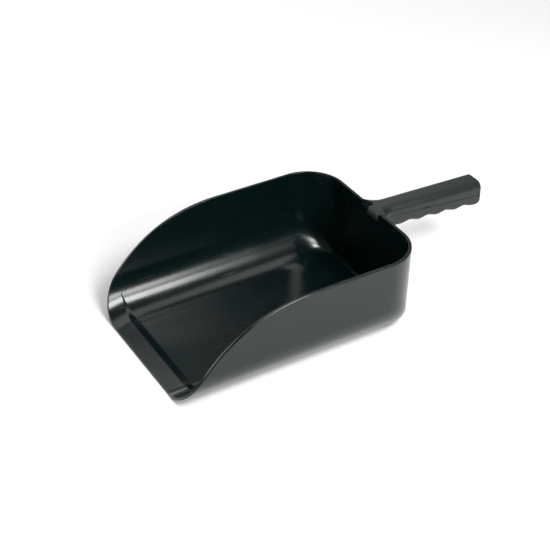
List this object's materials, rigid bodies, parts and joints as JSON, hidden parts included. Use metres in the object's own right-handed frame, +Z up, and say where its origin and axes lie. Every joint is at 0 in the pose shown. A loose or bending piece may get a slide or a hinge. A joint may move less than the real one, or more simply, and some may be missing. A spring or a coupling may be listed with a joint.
{
  "type": "feed scoop",
  "caption": "Open-fronted scoop with a flat floor, tall curved side walls, a thickened lip and a hollow grip handle with finger grooves, for feed or grain.",
  "frame": {"origin": "centre of the bounding box, on the plane that the flat floor rests on", "axes": "+X from the lip to the end of the handle, +Y across the bowl, +Z up"},
  "size_m": [0.4004, 0.199, 0.0949],
  "materials": {
    "bowl_plastic": "black injection-moulded plastic, glossy with faint scuffs",
    "handle_plastic": "black injection-moulded plastic, satin"
  },
  "bodies": {
    "root": {"scoop_bowl": "bowl_plastic", "handle_upper_shell": "handle_plastic", "handle_grip_shell": "handle_plastic"}
  },
  "joints": []
}
